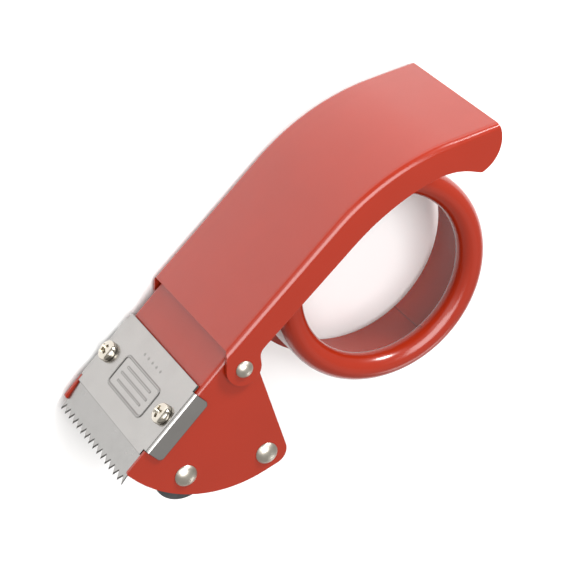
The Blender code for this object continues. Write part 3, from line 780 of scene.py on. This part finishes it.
def make_blade():
    """A thin strip with a saw-toothed edge, ground from above and dipped ahead of the cover."""
    pitch = 2 * BLADE_HALF / BLADE_TEETH
    bm = bmesh.new()

    def toothed(y, set_back):
        """The strip's outline at one height, its teeth set back by the grinding."""
        points = [(BLADE_REAR_X, -BLADE_HALF)]
        for i in range(2 * BLADE_TEETH + 1):
            x = (BLADE_ROOT_X if i % 2 else BLADE_TIP_X + set_back) + set_back
            points.append((x, -BLADE_HALF + i * pitch / 2))
        points.append((BLADE_REAR_X, BLADE_HALF))
        return [bm.verts.new((x, y, z)) for x, z in points]

    low = toothed(BLADE_LOW, 0.0)
    edge = toothed(BLADE_LOW + BLADE_LAND, 0.0)
    high = toothed(BLADE_LOW + BLADE_SHEET, BLADE_GRIND)
    bm.faces.new(low)
    bm.faces.new(high)
    for lower, upper in ((low, edge), (edge, high)):
        for i in range(len(low)):
            j = (i + 1) % len(low)
            bm.faces.new((lower[i], lower[j], upper[j], upper[i]))
    bm.verts.index_update()
    # painted shade: the teeth's lower outline and square land are stored dark, so each tooth shows a
    # shaded outline
    mark(bm, {vert.index: 1.0 for vert in (*low[1:-1], *edge[1:-1])})
    bmesh.ops.bisect_plane(bm, geom=[*bm.verts, *bm.edges, *bm.faces], dist=0.00001,
                           plane_co=(BLADE_FOLD_X, 0, 0), plane_no=(1, 0, 0))
    for vert in bm.verts:
        vert.co.y -= max(0.0, BLADE_FOLD_X - vert.co.x) * math.tan(math.radians(BLADE_DIP))
    blade = new_piece("saw_blade", bm, 20.0)
    drill_for_screws(blade)
    dress(blade, "blade", "head", "blade_steel")


def ridge(distance, rib):
    """How high a pressed rib stands at a distance from its middle line."""
    height, half_width = rib
    t = min(1.0, abs(distance) / half_width)
    return height * (1 - t * t) ** 2


def bar_distance(x, z, bar_x, half):
    """The distance to a straight bar that lies along z."""
    return math.hypot(x - bar_x, max(0.0, abs(z) - half))


def stamping(x, z):
    """The pressed pattern on the cover's top: a frame around three bars, and a row of dots."""
    z -= BADGE_CENTRE[1]
    along = abs(x - BADGE_CENTRE[0]) - BADGE_HALF[0] + BADGE_CORNER
    across = abs(z) - BADGE_HALF[1] + BADGE_CORNER
    inward = min(max(along, across), 0.0)
    frame_distance = math.hypot(max(along, 0.0), max(across, 0.0)) + inward - BADGE_CORNER
    height = ridge(frame_distance, FRAME_RIB)
    for bar_x, half in BADGE_BARS:
        height = max(height, ridge(bar_distance(x, z, bar_x, half), BAR_RIB))
    for dot_z in DOT_PLACES:
        height = max(height, ridge(math.hypot(x - DOT_ROW_X, z - dot_z), DOT_RIB))
    return height


def make_cover():
    """A stretch whose sides are bent down over the head, with a flat tongue at each end."""
    flat_half = COVER_HALF - COVER_BEND
    bend = math.pi / 2 * COVER_BEND
    flange = COVER_TOP - COVER_BEND - COVER_FLANGE_Y
    reach = flat_half + bend + flange
    bm = bmesh.new()
    bmesh.ops.create_grid(bm, x_segments=COVER_COLUMNS, y_segments=COVER_ROWS, size=1.0)
    bm.verts.index_update()
    painted_shade_and_seam = {}
    for vert in bm.verts:
        x = COVER_FRONT_X + (COVER_REAR_X - COVER_FRONT_X) * (vert.co.x + 1) / 2
        s = vert.co.y * reach
        side, run = math.copysign(1.0, s), abs(s)
        if run <= flat_half:
            y, z = COVER_TOP, s
        elif run <= flat_half + bend:
            a = (run - flat_half) / COVER_BEND
            y = COVER_TOP - COVER_BEND * (1 - math.cos(a))
            z = side * (flat_half + COVER_BEND * math.sin(a))
        else:
            y, z = COVER_TOP - COVER_BEND - (run - flat_half - bend), side * COVER_HALF
        pressed = stamping(x, z) if run <= flat_half else 0.0
        # painted shade: the steeper a rib's flank, the darker it is stored
        if pressed > 0.0:
            step = 0.05
            lean = math.hypot(stamping(x + step, z) - pressed, stamping(x, z + step) - pressed) / step
            painted_shade_and_seam[vert.index] = min(1.0, lean)
        vert.co = (x, y + pressed, z)
    mark(bm, painted_shade_and_seam)
    spare = []
    for face in bm.faces:
        middle = face.calc_center_median()
        front, rear = COVER_FLANGE_X
        drop = COVER_CORNER - (middle.y - COVER_FLANGE_Y)
        rise = math.sqrt(max(0.0, COVER_CORNER ** 2 - drop ** 2))
        cut = COVER_CORNER - rise if drop > 0 else 0.0
        before = middle.x < front + cut and abs(middle.z) > COVER_FRONT_HALF
        behind = middle.x > rear - cut and abs(middle.z) > COVER_TONGUE_HALF
        if before or behind:
            spare.append(face)
    bmesh.ops.delete(bm, geom=spare, context='FACES')
    # the cover's cut edges are stored fully dark, which draws a dark line along them
    rim = bm.verts.layers.float["painted_shade_and_seam"]
    for vert in bm.verts:
        if vert.is_boundary:
            vert[rim] = 1.0
    bmesh.ops.recalc_face_normals(bm, faces=bm.faces)
    if sum(f.normal.y for f in bm.faces) < 0:
        bmesh.ops.reverse_faces(bm, faces=bm.faces)
    bmesh.ops.solidify(bm, geom=bm.faces[:], thickness=COVER_SHEET)
    cover = new_piece("stamped_cover", bm, 40.0)
    drill_for_screws(cover)
    dress(cover, "blade_cover", "head", "stainless")


def make_screws():
    """Pan-head screws with crossed recesses, each into a hexagonal nut under the head's web."""
    seat = COVER_TOP + GAP
    nut_high = HEAD_TOP - HEAD_SHEET - GAP
    nut_low = nut_high - NUT_HEIGHT
    upright = Matrix.Rotation(math.radians(-90), 4, 'X')
    for side, z, turn in (("near", SCREW_Z, 24.0), ("far", -SCREW_Z, 61.0)):
        place = (SCREW_X, 0.0, z)
        head = crown(SCREW_HEAD_RADIUS, SCREW_HEAD_HEIGHT - SCREW_HEAD_RIM, seat + SCREW_HEAD_RIM, 1,
                     SCREW_FALL)
        shank_end = nut_low - SCREW_PAST_NUT
        profile = [*head, (SCREW_HEAD_RADIUS, seat + SCREW_HEAD_CHAMFER),
                   (SCREW_HEAD_RADIUS - SCREW_HEAD_CHAMFER, seat), (SCREW_RADIUS, seat),
                   (SCREW_RADIUS, shank_end), (SCREW_RADIUS - SCREW_TIP, shank_end - SCREW_TIP),
                   (0.0, shank_end - SCREW_TIP)]
        screw = new_piece(f"{side}_pan_screw", spun(profile, False, RIVET_STEPS, place, upright))
        carve(screw, cross_tool(place, seat + SCREW_HEAD_HEIGHT, turn), 'DIFFERENCE')
        soften(screw, 0.07)
        dress(screw, f"cover_screw_{side}", "head", "nickel", SCREW_PLATE)

        corner_radius = NUT_FLATS / 2 / math.cos(math.radians(30.0))
        hexagon = [(corner_radius * math.cos(math.radians(60.0 * k)),
                    corner_radius * math.sin(math.radians(60.0 * k))) for k in range(6)]
        bm = sheet(hexagon, nut_low, nut_high)
        bmesh.ops.transform(bm, matrix=Matrix.Translation(place) @ upright, verts=bm.verts)
        nut = new_piece(f"{side}_hex_nut", bm)
        face_radius, belt_radius = corner_radius - NUT_CHAMFER, corner_radius + 0.05
        barrel = [(0.0, nut_low), (face_radius, nut_low), (belt_radius, nut_low + 0.4),
                  (belt_radius, nut_high - 0.4), (face_radius, nut_high), (0.0, nut_high)]
        carve(nut, new_piece("barrel", spun(barrel, False, RIVET_STEPS, place, upright)), 'INTERSECT')
        bore = SCREW_RADIUS + GAP
        hole = [(0.0, nut_low - 1), (bore, nut_low - 1), (bore, nut_high + 1), (0.0, nut_high + 1)]
        carve(nut, new_piece("hole", spun(hole, False, NUT_HOLE_STEPS, place, upright)), 'DIFFERENCE')
        soften(nut, METAL_EDGE)
        dress(nut, f"cover_nut_{side}", "head", "zinc")


def cross_tool(place, top, turn):
    """A tapered crossed driver point, standing on its tip at the bottom of the recess."""
    arms = []
    for quarter in (0.0, 90.0):
        lie = Matrix.Rotation(math.radians(turn + quarter), 3, 'Y')
        bm = block((-0.5, 0.0, -0.5), (0.5, 1.0, 0.5))
        for vert in bm.verts:
            high = vert.co.y > 0.5
            long, wide = RECESS_TOP if high else RECESS_TIP
            y = top + RECESS_TOP_REACH if high else top - RECESS_DEPTH
            vert.co = (vert.co.x * long, y, vert.co.z * wide)
        bmesh.ops.rotate(bm, verts=bm.verts, cent=(0, 0, 0), matrix=lie)
        bmesh.ops.translate(bm, verts=bm.verts, vec=place)
        arms.append(new_piece("driver_arm", bm))
    carve(arms[0], arms[1], 'UNION')
    return arms[0]


# ---- floor, camera and light ------------------------------------------------------------------

def tool_point(x, y, z):
    """A point given in millimetres from the handle's pivot axis, in the frame."""
    return PLACE @ Vector((x, y, z))


def make_floor():
    """A plain white floor, wide enough to fill the view."""
    bm = bmesh.new()
    bmesh.ops.create_grid(bm, x_segments=1, y_segments=1, size=FLOOR_HALF)
    mesh = bpy.data.meshes.new("floor")
    bm.to_mesh(mesh)
    bm.free()
    floor = bpy.data.objects.new("floor", mesh)
    bpy.context.scene.collection.objects.link(floor)
    material, tree, shader, place = blank_material("white_sweep", (0.93, 0.93, 0.93), 0.9, 0.0)
    tree.links.new(tinted(tree, noise_at(tree, place, 4.0), (0.92, 0.92, 0.92), (0.94, 0.94, 0.94)),
                   shader.inputs["Base Color"])
    shader.inputs["Specular IOR Level"].default_value = 0.1
    mesh.materials.append(material)


def make_camera():
    """A long lens over the tool's near side, turned so that the handle rises to the right."""
    data = bpy.data.cameras.new("camera")
    data.sensor_width = CAMERA_SENSOR
    data.lens = CAMERA_LENS
    data.clip_start = 0.01
    camera = bpy.data.objects.new("camera", data)
    bpy.context.scene.collection.objects.link(camera)
    camera.location = tool_point(*CAMERA_PLACE)
    roll = Matrix.Rotation(math.radians(CAMERA_ROLL), 4, 'Z')
    facing = Vector(CAMERA_AIM).to_track_quat('-Z', 'Y').to_matrix().to_4x4()
    camera.rotation_euler = (facing @ roll).to_euler()
    bpy.context.scene.camera = camera


def make_light(name, direction, distance, size, power):
    """A soft square panel that faces the tool's middle from a direction, in metres and watts."""
    data = bpy.data.lights.new(name, 'AREA')
    data.shape = 'SQUARE'
    data.size = size
    data.energy = power
    panel = bpy.data.objects.new(name, data)
    bpy.context.scene.collection.objects.link(panel)
    direction = Vector(direction).normalized()
    panel.location = tool_point(*LIT_POINT) + direction * distance
    panel.rotation_euler = (-direction).to_track_quat('-Z', 'Y').to_euler()


def make_world(strength):
    """An even, slightly warm glow from all round."""
    world = bpy.data.worlds.new("studio")
    world.use_nodes = True
    ground = world.node_tree.nodes["Background"]
    ground.inputs["Color"].default_value = WORLD_TINT
    ground.inputs["Strength"].default_value = strength
    bpy.context.scene.world = world


make_handle()
make_head()
make_drum()
make_arm()
make_rollers()
make_pivots()
make_arm_rivets()
make_blade()
make_cover()
make_screws()

make_floor()
make_camera()
make_world(WORLD_GLOW)
make_light("overhead_panel", (0.12, 0.32, 0.94), 1.4, 1.0, 21.0)
make_light("key_panel", (0.87, 0.25, 0.42), 0.9, 0.20, 8.0)
make_light("soft_panel", (-0.095, 0.793, 0.602), 1.0, 0.7, 1.6)
make_light("fill_panel", (-0.15, -0.93, 0.35), 0.9, 0.25, 0.6)
make_light("plate_panel", (-0.06, -0.62, 0.785), 0.9, 0.5, 0.12)
bpy.context.scene.view_settings.view_transform = 'Standard'
